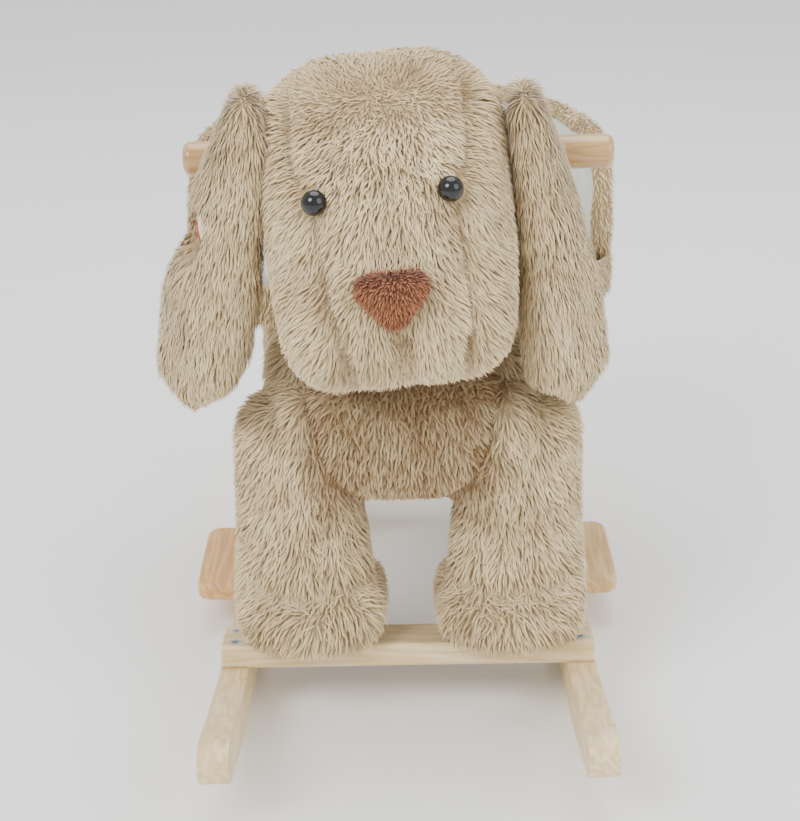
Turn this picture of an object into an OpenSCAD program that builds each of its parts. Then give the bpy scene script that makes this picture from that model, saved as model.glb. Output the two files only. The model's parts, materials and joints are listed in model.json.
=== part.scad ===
// Plush puppy rocker: a soft toy dog with a tub seat, on a pine rocker base.
// The dog faces -Y, its left side is +X, and Z = 0 is where the level rockers touch the floor.

/* [Rockers] */
// Length of each rocker from tip to tip
rocker_length = 676; // [560:2:780]
// Radius of the curve that rolls on the floor
rocker_radius = 1300; // [1050:25:2000]
// Height of the rocker bar
rocker_height = 30; // [26:1:40]
// Thickness of the rocker bar
rocker_thickness = 21; // [18:1:26]

/* [Rails] */
// Length of the rails, which is the width of the base
rail_length = 280; // [270:5:330]
// Width of each rail
rail_width = 40; // [34:1:50]
// Thickness of each rail
rail_thickness = 18; // [15:1:23]
// Distance between the two rails, centre to centre
rail_spacing = 320; // [308:1:332]

/* [Footrests] */
// Length of each footrest board, front to back
footrest_length = 108; // [90:1:135]
// Width of each footrest board
footrest_width = 70; // [56:1:84]
// Thickness of each footrest board
footrest_thickness = 15; // [12:1:20]
// How far a footrest stands out past its rocker
footrest_reach = 33; // [24:1:42]

/* [Inner frame] */
// Side of the square leg posts
post_side = 28; // [24:1:32]
// Distance of the leg posts from the centre plane
post_x = 60; // [54:1:64]
// Height of the top of the spine board
spine_top = 230; // [220:1:236]
// Thickness of the spine board
spine_thickness = 15; // [12:1:18]
// Side of the square neck post
neck_side = 40; // [36:1:46]

/* [Handles] */
// Length over both handle ends
handle_span = 304; // [286:1:340]
// Diameter of the grips
grip_diameter = 24; // [22:0.5:27]
// Diameter of the spigots in the neck post
spigot_diameter = 20; // [16:0.5:21]
// Height of the handles
handle_height = 413; // [404:1:420]

/* [Plush] */
// Width of the trunk
trunk_width = 192; // [180:1:204]
// Length of the trunk
trunk_length = 380; // [370:1:390]
// Width over both front legs
leg_span = 254; // [246:1:268]
// Width of the head
head_width = 178; // [168:1:184]
// Sideways lean of the head, in degrees
head_lean = 5; // [0:0.5:6]
// Diameter of the eyes
eye_diameter = 17; // [14:0.5:20]
// Thickness of the paw soles
sole_thickness = 3; // [2:0.5:4]

/* [Tub seat] */
// Width over the arms of the tub seat
tub_width = 344; // [320:1:352]
// Height of the middle of the round wings
wing_height = 322; // [316:1:332]
// Radius of the round wings
wing_radius = 64; // [54:1:70]
// Height of the rim at the back
back_height = 400; // [390:1:416]
// Thickness of the padded wall
tub_wall = 16; // [14:1:20]

/* [Sound unit] */
// Diameter of the sound unit's case
case_diameter = 29; // [26:0.5:30]
// How far the button travels
button_travel = 2; // [1.5:0.1:2.5]

/* [Hidden] */
$fn = 64;
rocker_fn = 720; // facets of the rocker's long curves
soft_fn = 24; // facets of the balls that round a soft shape
seat_depth = 0.6; // how deep rails and footrests are let into a rocker
fit = 0.05; // radial clearance of a screw in its hole
gap = 0.3; // clearance between pieces that move past each other
far = 900; // larger than the toy, for cutting tools

rocker_top_radius = rocker_radius - rocker_height;
rocker_x = (rail_length - rocker_thickness) / 2;
rail_angle = asin(rail_spacing / 2 / rocker_top_radius);
rail_top = rail_thickness - seat_depth; // above the rocker's top, in a rail's own frame
footrest_y = 4;
footrest_angle = asin(footrest_y / rocker_top_radius);
footrest_x = rail_length / 2 + footrest_reach - footrest_width / 2;
footrest_corner = 12;

screw_shank = 2;
screw_head = 4.5;
screw_head_depth = 2.6;
rail_screw_length = 38;
rail_screw_y = 11;
footrest_screw_length = 34;
footrest_screw_y = 34;
board_screw_length = 40;
bolt_radius = 3;
bolt_length = 50;
bolt_head_radius = 5.5;
bolt_head_height = 4;
washer_radius = 8;
washer_thickness = 1.6;

post_y = 152;
spine_bottom = spine_top - spine_thickness;
spine_length = 2 * post_y + post_side;
spine_width = 2 * post_x + post_side;
neck_y = -104;
neck_top = handle_height + 33;
neck_screw_y = 12;
batten_length = 120;
batten_side = 24;
batten_y = [30, 130];
seat_board_bottom = 262;
seat_board_thickness = 10;
seat_board_top = seat_board_bottom + seat_board_thickness;
cushion_thickness = 25;

grip_start = head_width / 2 + 7;
grip_rounding = 5;
lock_screw_length = 30;
lock_screw_x = 9;

trunk_ball = 40;
trunk_bottom = 160;
trunk_top = 276;
neck_ball_y = -112;
neck_ball_x = 22;
neck_low_ball = 46;
neck_low_z = 252;
neck_high_ball = 42;
neck_high_z = 330;
leg_ball = 34;
leg_ball_y = 140;
leg_ball_spread = [-12, 14];
leg_width = 108;
leg_x = (leg_span - leg_width) / 2;
leg_top = 246;
paw_front = 196;
paw_back = 92;
paw_ball = 24;
paw_ball_z = [74, 104];
sole_inset = 4;

head_pivot = [0, -104, 300];
crown_ball = 62;
crown = [head_width / 2 - crown_ball, -140, 432];
jaw_ball = 46;
jaw = [head_width / 2 - jaw_ball - 2, -138, 342];
brow_ball = 45;
brow = [38, -185, 400];
muzzle_ball = 40;
muzzle = [40, -214, 322];
eye_x = 44;
eye_y = -228;
eye_z = 417;
eye_shank = 2.2;
eye_shank_length = 13;
eye_washer = 8;
eye_washer_thickness = 2;
nose_ball = 8;
nose_corners = [[-13, -252, 364], [13, -252, 364], [0, -252, 346]];
nose_tip_ball = 6;
nose_tip = [0, -256, 356];

tub_y = 52; // centre of the round back
tub_front = -15;
tub_front_half = 132;
tub_bottom = 256;
tub_skirt_top = 288;
tub_cover_skin = 5;
tub_board = 4;
rim_roll = 8; // depth of the cover's rolled rim
wing_y = tub_y + wing_radius - 4;
back_corner = 30;
back_corner_y = tub_y + tub_width / 2 - 26;

ear_hinge = [head_width / 2 + 13, -150, 456];
ear_shift = sin(head_lean) * (ear_hinge[2] - head_pivot[2]); // the ears follow the leaning head
ear_root_radius = 9;
ear_root_length = 56;
ear_fold_ball = 15;
ear_fold = [[110, -168, 392], [124, -149, 392]];
ear_flap_ball = 19;
ear_flap = [[118, -172, 277], [144, -144, 277]];
ear_tip_ball = 17;
ear_tip = [130, -160, 266];
sound_turn = 27; // the sound unit faces this far forwards of straight sideways
sound_centre = [-131, -158, 377];
case_height = 12;
case_wall = 1.6;
label_radius = 14;
label_thickness = 1.2;
button_radius = 9;
button_stem = 3;
button_flange = 1.2;
spring_radius = 3.2;
spring_wire = 0.45;
spring_turns = 4;
cell_radius = 5.8;
cell_height = 2;
speaker_radius = 10;
speaker_height = 2.4;
circuit_thickness = 1;

tail_root = [0, trunk_length / 2 + 22, 214];
tail_root_radius = 16;
tail_root_height = 30;
tail_reach = [0, 52, -18];
tail_tip_ball = 17;

pine = "#dfd2a8";
warm_pine = "#d9b184";
dowel_wood = "#c99b5f";
plywood = "#cdb58b";
plush_tan = "#bfa98a";
plush_brown = "#8a5136";
lining_white = "#dcdcd4";
steel = "#b9bcc0";

// ---- Placing ----

// Puts children on a rocker's top surface, at an angle along its curve.
// Their own Z points to the curve's centre.
module on_rocker(angle) {
  translate([0, 0, rocker_radius])
    rotate([angle, 0, 0])
      translate([0, 0, -rocker_top_radius])
        children();
}

// end is -1 at the front rail and 1 at the rear rail
module at_rail(end) {
  on_rocker(end * rail_angle) children();
}

module at_footrest() {
  on_rocker(footrest_angle) children();
}

// side is 1 on the dog's left and -1 on its right
module mirrored(side) {
  if (side > 0) children();
  else mirror([1, 0, 0]) children();
}

module leaned() {
  translate(head_pivot) rotate([0, -head_lean, 0]) translate(-head_pivot) children();
}

module rounded_square(size, corner) {
  for (x = [-1, 1]) for (y = [-1, 1])
    translate([x * (size[0] / 2 - corner), y * (size[1] / 2 - corner)]) circle(corner);
  square([size[0] - 2 * corner, size[1]], center = true);
  square([size[0], size[1] - 2 * corner], center = true);
}

// ---- Fasteners ----

// A countersunk wood screw whose head is flush with z = 0, pointing down
module wood_screw(length, slack = 0) {
  tip = 5;
  translate([0, 0, -screw_head_depth])
    cylinder(screw_head_depth, screw_shank + slack, screw_head + slack);
  translate([0, 0, tip - length]) cylinder(length - tip - 0.5, screw_shank + slack, screw_shank + slack);
  translate([0, 0, -length]) cylinder(tip, 0.3 + slack, screw_shank + slack);
}

module screw_hole(length) {
  wood_screw(length, fit);
  cylinder(2, screw_head + fit, screw_head + fit);
}

module cross_recess() {
  for (turn = [45, 135]) rotate(turn) translate([-2.6, -0.5, -1.5]) cube([5.2, 1, 2]);
}

module screw(length) {
  color(steel) difference() {
    wood_screw(length);
    cross_recess();
  }
}

// A button-head bolt that points up from z = 0, the underside of what it clamps
module bolt(slack = 0) {
  cylinder(bolt_length, bolt_radius + slack, bolt_radius + slack);
  translate([0, 0, -washer_thickness - bolt_head_height])
    cylinder(bolt_head_height, bolt_head_radius, bolt_head_radius);
  translate([0, 0, -washer_thickness - 0.5]) cylinder(1, bolt_radius + slack, bolt_radius + slack);
}

module at_rail_screws(end) {
  at_rail(end)
    for (x = [-1, 1]) for (y = [-1, 1])
      translate([x * rocker_x, y * rail_screw_y, rail_top]) children();
}

module at_footrest_screws(side) {
  at_footrest()
    for (y = [-1, 1])
      translate([side * rocker_x, y * footrest_screw_y, footrest_thickness - seat_depth]) children();
}

module at_leg_bolt(end, side) {
  at_rail(end) translate([side * post_x, 0, -seat_depth]) children();
}

module at_spine_screws(end, side) {
  translate([side * post_x, end * post_y, spine_top]) children();
}

module at_neck_screws() {
  for (y = [-1, 1]) translate([0, neck_y + y * neck_screw_y, spine_bottom]) mirror([0, 0, 1]) children();
}

module at_batten_screws() {
  for (x = [-1, 1]) for (y = batten_y) translate([x * 40, y, spine_bottom]) mirror([0, 0, 1]) children();
}

module at_seat_board_screws() {
  for (x = [-1, 1]) for (y = batten_y) translate([x * 22, y, seat_board_top]) children();
}

// ---- Rocker base ----

module rocker_outline() {
  middle = rocker_radius - rocker_height / 2;
  end_angle = asin((rocker_length / 2 - rocker_height / 2) / middle);
  intersection() {
    difference() {
      circle(rocker_radius, $fn = rocker_fn);
      circle(rocker_top_radius, $fn = rocker_fn);
    }
    polygon([
      [0, 0], far * 3 * [-sin(end_angle), -cos(end_angle)], far * 3 * [sin(end_angle), -cos(end_angle)]
    ]);
  }
  for (end = [-1, 1])
    translate(middle * [end * sin(end_angle), -cos(end_angle)]) circle(rocker_height / 2);
}

module rocker(side) {
  color(pine) difference() {
    translate([side * rocker_x, 0, rocker_radius])
      rotate([90, 0, 90])
        linear_extrude(rocker_thickness, center = true) rocker_outline();
    for (end = [-1, 1]) at_rail(end) rail_blank();
    at_footrest() footrest_blank(side);
    for (end = [-1, 1]) at_rail_screws(end) screw_hole(rail_screw_length);
    at_footrest_screws(side) screw_hole(footrest_screw_length);
  }
}

module rail_blank() {
  translate([-rail_length / 2, -rail_width / 2, -seat_depth])
    cube([rail_length, rail_width, rail_thickness]);
}

module rail(end) {
  color(pine) difference() {
    at_rail(end) rail_blank();
    at_rail_screws(end) screw_hole(rail_screw_length);
    for (side = [-1, 1]) at_leg_bolt(end, side) bolt(fit);
  }
}

module footrest_blank(side) {
  translate([side * footrest_x, 0, -seat_depth])
    linear_extrude(footrest_thickness) rounded_square([footrest_width, footrest_length], footrest_corner);
}

module footrest(side) {
  color(warm_pine) difference() {
    at_footrest() footrest_blank(side);
    at_footrest_screws(side) screw_hole(footrest_screw_length);
  }
}

// ---- Inner frame ----

// Everything below a rail's top face, raised by lift
module below_rail(end, lift = 0) {
  at_rail(end) translate([-far / 2, -far / 2, rail_top + lift - far]) cube([far, far, far]);
}

module post_blank(end, side) {
  translate([side * post_x - post_side / 2, end * post_y - post_side / 2, 40])
    cube([post_side, post_side, spine_bottom - 40]);
}

module post(end, side) {
  color(pine) difference() {
    post_blank(end, side);
    below_rail(end);
    at_leg_bolt(end, side) bolt(fit);
    at_spine_screws(end, side) screw_hole(board_screw_length);
  }
}

module spine_blank() {
  translate([-spine_width / 2, -spine_length / 2, spine_bottom])
    cube([spine_width, spine_length, spine_thickness]);
}

module spine_board() {
  color(plywood) difference() {
    spine_blank();
    for (end = [-1, 1]) for (side = [-1, 1]) at_spine_screws(end, side) screw_hole(board_screw_length);
    at_neck_screws() screw_hole(board_screw_length);
    at_batten_screws() screw_hole(board_screw_length - 5);
  }
}

module neck_blank() {
  translate([-neck_side / 2, neck_y - neck_side / 2, spine_top])
    cube([neck_side, neck_side, neck_top - spine_top]);
}

module neck_post() {
  color(pine) difference() {
    neck_blank();
    translate([0, neck_y, handle_height]) rotate([0, 90, 0])
      cylinder(far, spigot_diameter / 2 + fit, spigot_diameter / 2 + fit, center = true);
    at_neck_screws() screw_hole(board_screw_length);
    at_lock_screws() screw_hole(lock_screw_length);
  }
}

module batten_blanks() {
  for (y = batten_y)
    translate([-batten_length / 2, y - batten_side / 2, spine_top])
      cube([batten_length, batten_side, seat_board_bottom - spine_top]);
}

module seat_battens() {
  color(pine) difference() {
    batten_blanks();
    at_batten_screws() screw_hole(board_screw_length - 5);
    at_seat_board_screws() screw_hole(board_screw_length - 10);
  }
}

// Plan of the tub seat, taken in by inset all round: a round back that narrows to the front
module tub_plan(inset) {
  half = tub_width / 2 - inset;
  front_half = tub_front_half - inset;
  difference() {
    translate([0, tub_y]) circle(half, $fn = 180);
    translate([-far, tub_front + inset - far]) square([2 * far, far]);
    for (side = [-1, 1]) polygon([
      [side * half, tub_y], [side * front_half, tub_front + inset],
      [side * front_half, tub_front + inset - half], [side * far, tub_front + inset - half], [side * far, tub_y]
    ]);
  }
}

module seat_board() {
  color(plywood) difference() {
    translate([0, 0, seat_board_bottom])
      linear_extrude(seat_board_thickness) tub_plan(tub_cover_skin + tub_board);
    at_seat_board_screws() screw_hole(board_screw_length - 10);
  }
}

// ---- Handles ----

module at_lock_screws() {
  for (side = [-1, 1]) translate([side * lock_screw_x, neck_y, neck_top]) children();
}

// A turned handle: a round-ended grip and the thinner spigot that goes into the neck post
module handle_blank(side) {
  half_span = handle_span / 2;
  grip = grip_diameter / 2;
  translate([0, neck_y, handle_height]) mirrored(side) rotate([0, 90, 0]) rotate_extrude() {
    translate([0, gap / 2]) square([spigot_diameter / 2, grip_start - gap / 2]);
    translate([0, grip_start]) square([grip, half_span - grip_start - grip_rounding]);
    translate([0, grip_start]) square([grip - grip_rounding, half_span - grip_start]);
    intersection() {
      translate([grip - grip_rounding, half_span - grip_rounding]) circle(grip_rounding);
      translate([0, grip_start]) square([grip, half_span]);
    }
  }
}

module handle(side) {
  color(dowel_wood) difference() {
    handle_blank(side);
    at_lock_screws() screw_hole(lock_screw_length);
  }
}

// ---- Tub seat ----

// Side view of the wall, taken in by inset: a round wing, a straight rise and a round top corner
module wall_outline(inset) {
  hull() {
    translate([wing_y, wing_height]) circle(wing_radius - inset);
    translate([back_corner_y, back_height - back_corner]) circle(back_corner - inset);
    translate([back_corner_y, tub_bottom - 1]) square([tub_width, back_height - inset - tub_bottom + 1]);
    translate([wing_y, tub_bottom - 1]) square([wing_radius, 1]);
  }
}

module wall_side(inset) {
  rotate([90, 0, 90]) linear_extrude(far, center = true) wall_outline(inset);
}

module tub_ring(outer, inner, bottom) {
  translate([0, 0, bottom]) linear_extrude(back_height - bottom + 5) difference() {
    tub_plan(outer);
    tub_plan(inner);
  }
}

// A layer of the wall that stops below the rolled rim
module wall_layer(outer, inner, bottom) {
  intersection() {
    tub_ring(outer, inner, bottom);
    wall_side(rim_roll);
  }
}

module tub_shell() {
  color(plywood) wall_layer(tub_cover_skin, tub_cover_skin + tub_board, seat_board_bottom);
}

// Plush outside of the tub: a skirt round the seat, the wall's back and wings, and the rolled rim
module tub_cover() {
  color(plush_tan) difference() {
    union() {
      intersection() {
        tub_ring(0, tub_cover_skin, tub_bottom);
        wall_side(0);
      }
      difference() {
        intersection() {
          tub_ring(0, tub_wall, seat_board_top);
          wall_side(0);
        }
        wall_side(rim_roll);
      }
      translate([0, 0, tub_bottom]) linear_extrude(tub_skirt_top - tub_bottom) difference() {
        tub_plan(0);
        tub_plan(tub_cover_skin);
      }
      translate([0, 0, tub_bottom]) linear_extrude(seat_board_bottom - tub_bottom) tub_plan(0);
    }
    trunk_shape();
    batten_blanks();
  }
}

module tub_lining() {
  color(lining_white) wall_layer(tub_cover_skin + tub_board, tub_wall, seat_board_top);
}

module seat_cushion() {
  color(lining_white) translate([0, 0, seat_board_top])
    linear_extrude(cushion_thickness) tub_plan(tub_wall);
}

// ---- Soft parts ----

module balls(radius, places) {
  for (place = places) translate(place) sphere(radius, $fn = soft_fn);
}

module trunk_shape() {
  x = trunk_width / 2 - trunk_ball;
  y = trunk_length / 2 - trunk_ball;
  hull() balls(trunk_ball, [
    for (i = [-1, 1]) for (j = [-1, 1]) for (z = [trunk_bottom + trunk_ball, trunk_top - trunk_ball])
      [i * x, j * y, z]
  ]);
}

module neck_shape() {
  hull() {
    balls(neck_low_ball, [for (i = [-1, 1]) [i * neck_ball_x, neck_ball_y, neck_low_z]]);
    balls(neck_high_ball, [for (i = [-1, 1]) [i * neck_ball_x, neck_ball_y, neck_high_z]]);
  }
}

// A place and its mirror image across the centre plane
function pair(place) = [for (i = [-1, 1]) [i * place[0], place[1], place[2]]];

module head_shape() {
  leaned() hull() {
    balls(crown_ball, pair(crown));
    balls(jaw_ball, pair(jaw));
    balls(brow_ball, pair(brow));
    balls(muzzle_ball, pair(muzzle));
  }
}

module frame_core() {
  spine_blank();
  neck_blank();
  batten_blanks();
  for (end = [-1, 1]) for (side = [-1, 1]) post_blank(end, side);
}

module body_plush() {
  color(plush_tan) difference() {
    union() {
      trunk_shape();
      neck_shape();
    }
    head_shape();
    frame_core();
    translate([-far / 2, tub_front, seat_board_bottom]) cube([far, far, far]);
    for (end = [-1, 1]) for (side = [-1, 1])
      at_spine_screws(end, side) cylinder(3, screw_head, screw_head);
    at_neck_screws() cylinder(3, screw_head, screw_head);
  }
}

// A rear leg, from the haunch to the paw. The front legs are the same, turned round.
module leg_shape(side) {
  x = leg_width / 2 - paw_ball;
  hull() {
    balls(leg_ball, [for (i = leg_ball_spread) [side * (leg_x + i), leg_ball_y, leg_top - leg_ball]]);
    balls(paw_ball, [
      for (i = [-1, 1]) for (y = [paw_front - paw_ball, paw_back + paw_ball]) for (z = paw_ball_z)
        [side * leg_x + i * x, y, z]
    ]);
  }
}

module rear_leg(side) {
  color(plush_tan) difference() {
    leg_shape(side);
    trunk_shape();
    post_blank(1, side);
    below_rail(1, sole_thickness);
  }
}

module front_leg(side) {
  rotate(180) rear_leg(-side);
}

module soles(end) {
  color(plush_brown) difference() {
    at_rail(end) for (side = [-1, 1])
      translate([side * leg_x, end * (paw_front + paw_back - rail_spacing) / 2, rail_top])
        linear_extrude(sole_thickness)
          rounded_square([leg_width - 2 * sole_inset - 6, paw_front - paw_back - 2 * sole_inset], 30);
    for (side = [-1, 1]) post_blank(end, side);
  }
}

module head_plush() {
  color(plush_tan) difference() {
    head_shape();
    neck_blank();
    translate([0, neck_y, handle_height]) rotate([0, 90, 0])
      cylinder(far, spigot_diameter / 2 + fit, spigot_diameter / 2 + fit, center = true);
    for (side = [-1, 1]) at_eye(side) eye_blank();
    for (side = [-1, 1]) at_eye(side) eye_washer_blank();
    at_lock_screws() cylinder(3, screw_head, screw_head);
  }
}

module at_eye(side) {
  leaned() translate([side * eye_x, eye_y, eye_z]) rotate([90, 0, side * 12]) children();
}

// A domed safety eye whose rim lies at z = 0, with its shank behind
module eye_blank() {
  intersection() {
    sphere(eye_diameter / 2);
    translate([0, 0, eye_diameter / 4 - 1])
      cube([eye_diameter, eye_diameter, eye_diameter / 2 + 2], center = true);
  }
  translate([0, 0, -eye_shank_length]) cylinder(eye_shank_length, eye_shank, eye_shank);
}

module eye(side) {
  color("black") at_eye(side) eye_blank();
}

module eye_washer_blank() {
  translate([0, 0, 3 - eye_shank_length]) difference() {
    cylinder(eye_washer_thickness, eye_washer, eye_washer);
    translate([0, 0, -1]) cylinder(eye_washer_thickness + 2, eye_shank, eye_shank);
  }
}

module eye_washers() {
  color("white") for (side = [-1, 1]) at_eye(side) difference() {
    eye_washer_blank();
    eye_blank();
  }
}

module nose() {
  color(plush_brown) difference() {
    leaned() hull() {
      balls(nose_ball, nose_corners);
      balls(nose_tip_ball, [nose_tip]);
    }
    head_shape();
  }
}

// ---- Ears ----

// An ear hangs from a roll at its hinge line and swells towards the bottom
module ear_shape() {
  hull() {
    translate(ear_hinge) rotate([90, 0, 0])
      cylinder(ear_root_length, ear_root_radius, ear_root_radius, center = true, $fn = soft_fn);
    balls(ear_fold_ball, ear_fold);
    balls(ear_flap_ball, ear_flap);
    balls(ear_tip_ball, [ear_tip]);
  }
}

module ear_left() {
  color(plush_tan) translate([-ear_shift, 0, 0]) ear_shape();
}

module ear_right() {
  color(plush_tan) difference() {
    translate([-ear_shift, 0, 0]) mirrored(-1) ear_shape();
    at_sound() translate([0, 0, -case_height - 1]) {
      cylinder(case_height + 1, case_diameter / 2, case_diameter / 2);
      cylinder(far / 4, label_radius + gap, label_radius + gap);
    }
  }
}

// ---- Sound unit, in the dog's right ear ----

// Its own Z points out through the label, and z = 0 is the front of the case
module at_sound() {
  translate(sound_centre) rotate([0, -90, sound_turn]) children();
}

module sound_case() {
  inner = case_diameter / 2 - case_wall;
  color("white") at_sound() difference() {
    translate([0, 0, -case_height]) cylinder(case_height, case_diameter / 2, case_diameter / 2);
    translate([0, 0, -case_height - 1]) cylinder(case_height + 1 - case_wall, inner, inner);
    translate([0, 0, -case_height / 2]) cylinder(case_height, button_radius + gap, button_radius + gap);
  }
}

module sound_case_back() {
  color("white") at_sound() translate([0, 0, -case_height - 1])
    difference() {
      union() {
        cylinder(1, case_diameter / 2, case_diameter / 2);
        cylinder(2.2, case_diameter / 2 - case_wall - 0.1, case_diameter / 2 - case_wall - 0.1);
      }
      translate([0, 0, 1]) cylinder(2, case_diameter / 2 - 2 * case_wall, case_diameter / 2 - 2 * case_wall);
    }
}

module speaker() {
  color("dimgray") at_sound() translate([0, 0, -case_height])
    cylinder(speaker_height, speaker_radius, speaker_radius);
}

module circuit_board() {
  color("green") at_sound() translate([0, 0, -case_height + speaker_height + cell_height])
    cylinder(circuit_thickness, case_diameter / 2 - case_wall - gap, case_diameter / 2 - case_wall - gap);
}

module button_cells() {
  color(steel) at_sound() for (turn = [0, 120, 240])
    rotate(turn) translate([cell_radius + 1, 0, -case_height + speaker_height])
      cylinder(cell_height, cell_radius, cell_radius);
}

button_bottom = -case_height + speaker_height + cell_height + circuit_thickness + button_travel + 0.6;

module sound_button() {
  flange_top = -case_wall - gap;
  color("red") at_sound() difference() {
    union() {
      translate([0, 0, button_bottom])
        cylinder(button_travel + gap - button_bottom, button_radius, button_radius);
      translate([0, 0, flange_top - button_flange])
        cylinder(button_flange, button_radius + 2, button_radius + 2);
    }
    translate([0, 0, button_bottom - 1]) cylinder(button_stem + 1, spring_radius + 1.5, spring_radius + 1.5);
  }
}

module button_spring() {
  free = button_stem + button_travel + 0.6;
  color(steel) at_sound() translate([0, 0, button_bottom - button_travel - 0.6])
    for (turn = [0:spring_turns - 1])
      translate([0, 0, spring_wire + turn * (free - 2 * spring_wire) / (spring_turns - 1)])
        rotate_extrude() translate([spring_radius, 0]) circle(spring_wire, $fn = 16);
}

module press_label() {
  color("red") at_sound() translate([0, 0, button_travel + gap])
    cylinder(label_thickness, label_radius, label_radius);
}

// ---- Tail ----

module tail() {
  color(plush_tan) hull() {
    translate(tail_root) cylinder(tail_root_height, tail_root_radius, tail_root_radius, center = true,
      $fn = soft_fn);
    translate(tail_root + tail_reach) sphere(tail_tip_ball, $fn = soft_fn);
  }
}

rocker(1);  // rocker_left
rocker(-1);  // rocker_right
rail(-1);  // front_rail
rail(1);  // rear_rail
footrest(1);  // footrest_left
footrest(-1);  // footrest_right
at_rail_screws(-1) screw(rail_screw_length);  // front_rail_screws
at_rail_screws(1) screw(rail_screw_length);  // rear_rail_screws
for (side = [-1, 1]) at_footrest_screws(side) screw(footrest_screw_length);  // footrest_screws
post(-1, 1);  // front_left_post
post(-1, -1);  // front_right_post
post(1, 1);  // rear_left_post
post(1, -1);  // rear_right_post
color(steel) for (end = [-1, 1]) for (side = [-1, 1]) at_leg_bolt(end, side) bolt();  // leg_bolts
color(steel) for (end = [-1, 1]) for (side = [-1, 1]) at_leg_bolt(end, side)  // leg_washers
    difference() {
      translate([0, 0, -washer_thickness]) cylinder(washer_thickness, washer_radius, washer_radius);
      bolt(fit);
    }
spine_board();
for (end = [-1, 1]) for (side = [-1, 1]) at_spine_screws(end, side) screw(board_screw_length);  // spine_screws
neck_post();
at_neck_screws() screw(board_screw_length);  // neck_screws
seat_battens();
at_batten_screws() screw(board_screw_length - 5);  // batten_screws
seat_board();
at_seat_board_screws() screw(board_screw_length - 10);  // seat_board_screws
handle(1);  // handle_left
handle(-1);  // handle_right
at_lock_screws() screw(lock_screw_length);  // handle_lock_screws
tub_shell();
tub_cover();
tub_lining();
seat_cushion();
body_plush();
front_leg(1);  // front_left_leg
front_leg(-1);  // front_right_leg
rear_leg(1);  // rear_left_leg
rear_leg(-1);  // rear_right_leg
soles(-1);  // front_soles
soles(1);  // rear_soles
head_plush();
nose();
eye(1);  // eye_left
eye(-1);  // eye_right
eye_washers();
ear_left();
ear_right();
tail();
sound_case();
sound_case_back();
sound_button();
button_spring();
press_label();
speaker();
circuit_board();
button_cells();
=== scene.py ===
import json
import math

import bmesh
import bpy
import numpy as np
from mathutils import Matrix, Vector


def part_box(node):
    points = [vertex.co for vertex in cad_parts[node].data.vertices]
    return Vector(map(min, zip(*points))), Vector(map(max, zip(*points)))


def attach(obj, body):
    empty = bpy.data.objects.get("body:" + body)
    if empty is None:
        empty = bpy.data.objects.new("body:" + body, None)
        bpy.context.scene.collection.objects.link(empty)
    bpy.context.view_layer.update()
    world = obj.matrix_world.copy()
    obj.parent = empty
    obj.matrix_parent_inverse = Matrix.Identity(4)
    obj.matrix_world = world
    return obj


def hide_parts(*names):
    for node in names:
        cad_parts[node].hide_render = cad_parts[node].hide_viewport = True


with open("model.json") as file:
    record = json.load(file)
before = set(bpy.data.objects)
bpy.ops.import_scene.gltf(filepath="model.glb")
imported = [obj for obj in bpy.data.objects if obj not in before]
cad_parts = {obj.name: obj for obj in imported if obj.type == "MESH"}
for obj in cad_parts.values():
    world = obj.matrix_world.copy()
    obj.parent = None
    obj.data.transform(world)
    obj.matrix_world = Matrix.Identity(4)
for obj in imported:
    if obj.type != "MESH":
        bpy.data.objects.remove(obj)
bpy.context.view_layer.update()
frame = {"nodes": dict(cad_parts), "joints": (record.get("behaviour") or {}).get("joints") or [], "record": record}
mm = 0.001


def lowHigh(node):
    low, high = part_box(node)
    return np.array(low), np.array(high)


# camera

frontView = {
    "place": (0.0057, -1.286, 0.700),
    "turn": -0.4,  # degrees to the right of straight along +Y
    "down": 22.2,
    "roll": 1.2,
    "lens": 76.5,  # on a 36 mm wide sensor
}


def addCamera(view):
    turn, down, roll = (math.radians(view[k]) for k in ("turn", "down", "roll"))
    forward = Vector((math.sin(turn) * math.cos(down), math.cos(turn) * math.cos(down), -math.sin(down)))
    level = Vector((math.cos(turn), -math.sin(turn), 0))
    up = level.cross(forward)
    right = level * math.cos(roll) - up * math.sin(roll)
    above = level * math.sin(roll) + up * math.cos(roll)
    data = bpy.data.cameras.new("frontCamera")
    data.sensor_fit = "HORIZONTAL"
    data.sensor_width = 36
    data.lens = view["lens"]
    camera = bpy.data.objects.new("frontCamera", data)
    bpy.context.scene.collection.objects.link(camera)
    turned = Matrix((right, above, -forward)).transposed().to_4x4()
    camera.matrix_world = Matrix.Translation(view["place"]) @ turned
    bpy.context.scene.camera = camera


addCamera(frontView)
print("camera placed")


# small helpers

def addObject(name, data):
    obj = bpy.data.objects.new(name, data)
    bpy.context.scene.collection.objects.link(obj)
    return obj


def fromMesh(name, mesh):
    data = bpy.data.meshes.new(name)
    mesh.to_mesh(data)
    mesh.free()
    return addObject(name, data)


# the mesh that the object's modifiers give
def finishedMesh(obj):
    graph = bpy.context.evaluated_depsgraph_get()
    return bpy.data.meshes.new_from_object(obj.evaluated_get(graph))


# a new object that holds only the finished mesh
def baked(obj, name):
    made = addObject(name, finishedMesh(obj))
    bpy.data.objects.remove(obj)
    made.name = name
    return made


def applied(obj):
    data = finishedMesh(obj)
    obj.modifiers.clear()
    obj.data = data


def smoothShade(data):
    data.polygons.foreach_set("use_smooth", [True] * len(data.polygons))


# the object remeshed evenly and softened
def evened(obj, voxel, smoothing):
    remesh = obj.modifiers.new("even", "REMESH")
    remesh.mode = "VOXEL"
    remesh.voxel_size = voxel * mm
    soften = obj.modifiers.new("soft", "SMOOTH")
    soften.factor = 0.5
    soften.iterations = smoothing
    applied(obj)
    smoothShade(obj.data)
    return obj


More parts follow.
